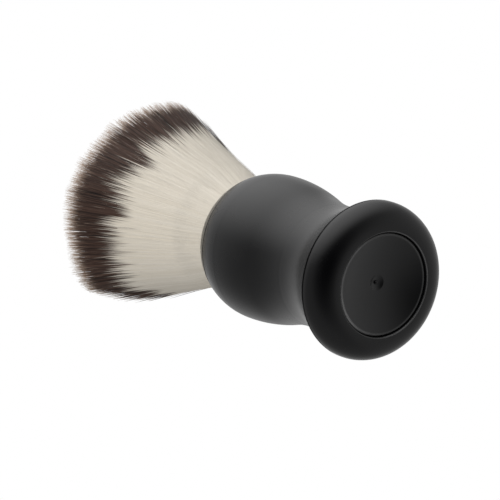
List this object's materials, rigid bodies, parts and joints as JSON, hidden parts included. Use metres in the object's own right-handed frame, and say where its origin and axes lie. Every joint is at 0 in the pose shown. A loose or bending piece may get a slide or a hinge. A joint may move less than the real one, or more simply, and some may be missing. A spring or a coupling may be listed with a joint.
{
  "type": "shaving brush",
  "caption": "Shaving brush: a waisted bulb handle flared out to a thick foot, a dished plug under it, and a domed knot of fine two-tone fibres that fans out of the top.",
  "frame": {"origin": "centre of the flat ring that the foot rests on", "axes": "+Z along the brush's axis, from the foot to the tips of the fibres; X and Y are equal, because the brush is turned about Z"},
  "size_m": [0.0492, 0.0493, 0.1091],
  "materials": {
    "handle_plastic": "black moulded plastic with a soft gloss",
    "foot_plastic": "black moulded plastic with a soft gloss",
    "plug_plastic": "black moulded plastic, satin",
    "ballast_steel": "plain turned steel",
    "screw_steel": "zinc plated",
    "glue": "cured adhesive",
    "ferrule_plastic": "plain moulded plastic",
    "resin": "cast resin",
    "fibres": "fine synthetic fibres, cream with a dark brown band and pale tips"
  },
  "bodies": {
    "root": {"handle_body": "handle_plastic", "socket_cap": "handle_plastic", "foot": "foot_plastic", "base_plug": "plug_plastic", "ballast_ring": "ballast_steel", "foot_screw": "screw_steel", "knot_glue": "glue", "knot_ferrule": "ferrule_plastic", "knot_resin": "resin", "bristles": "fibres"}
  },
  "joints": []
}
